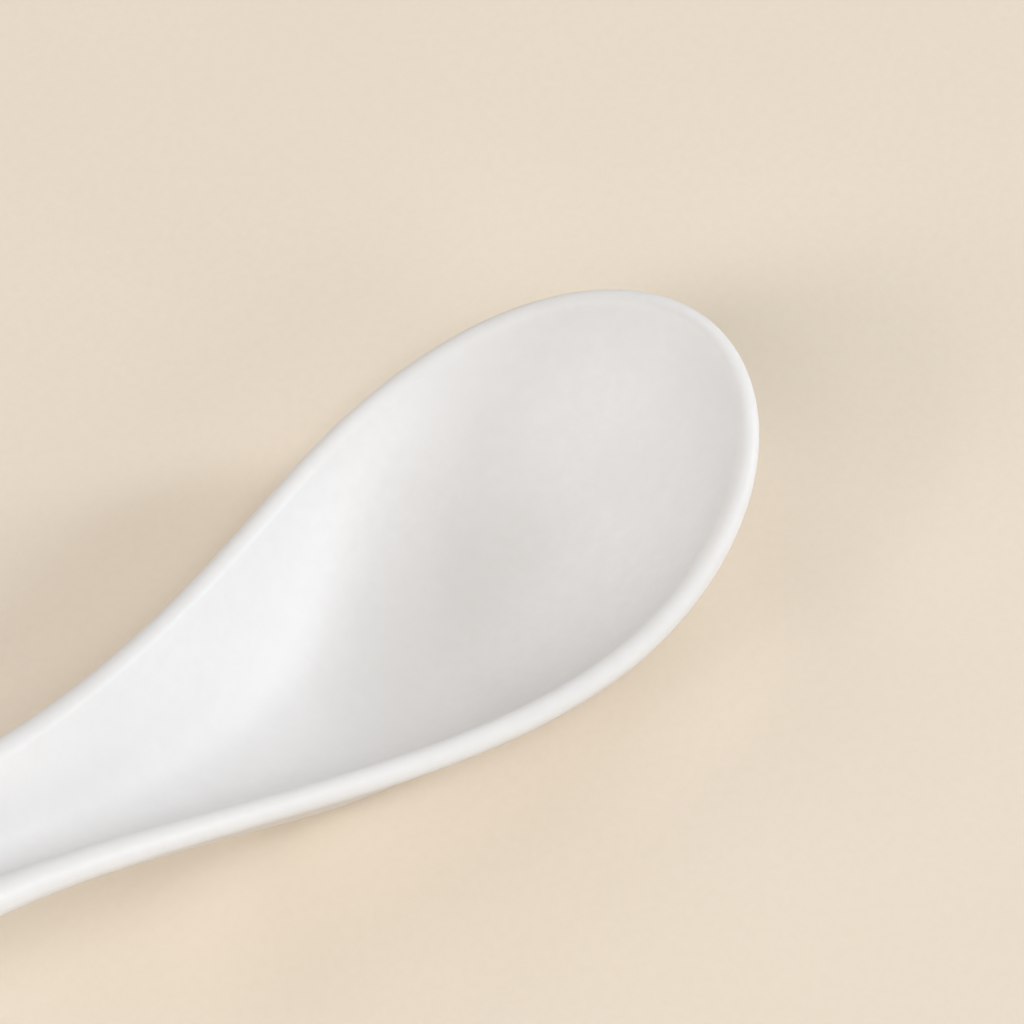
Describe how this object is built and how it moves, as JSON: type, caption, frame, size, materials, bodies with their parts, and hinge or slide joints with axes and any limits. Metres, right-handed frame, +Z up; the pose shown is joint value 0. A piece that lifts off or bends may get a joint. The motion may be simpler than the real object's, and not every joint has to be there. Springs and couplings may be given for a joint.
{
  "type": "chinese soup spoon",
  "caption": "Ceramic soup spoon with a deep egg-shaped bowl, a full-round lip, a rising channelled handle and a flat bare foot on which it stands.",
  "frame": {"origin": "middle of the flat foot, on the table top", "axes": "+X along the spoon towards the bowl's tip, +Y across it, +Z up"},
  "size_m": [0.136, 0.0448, 0.0549],
  "materials": {
    "bare_ceramic": "unglazed, fine-grained, matte",
    "white_glaze": "satin white"
  },
  "bodies": {
    "root": {"ceramic_body": "bare_ceramic", "glaze_coat": "white_glaze"}
  },
  "joints": []
}
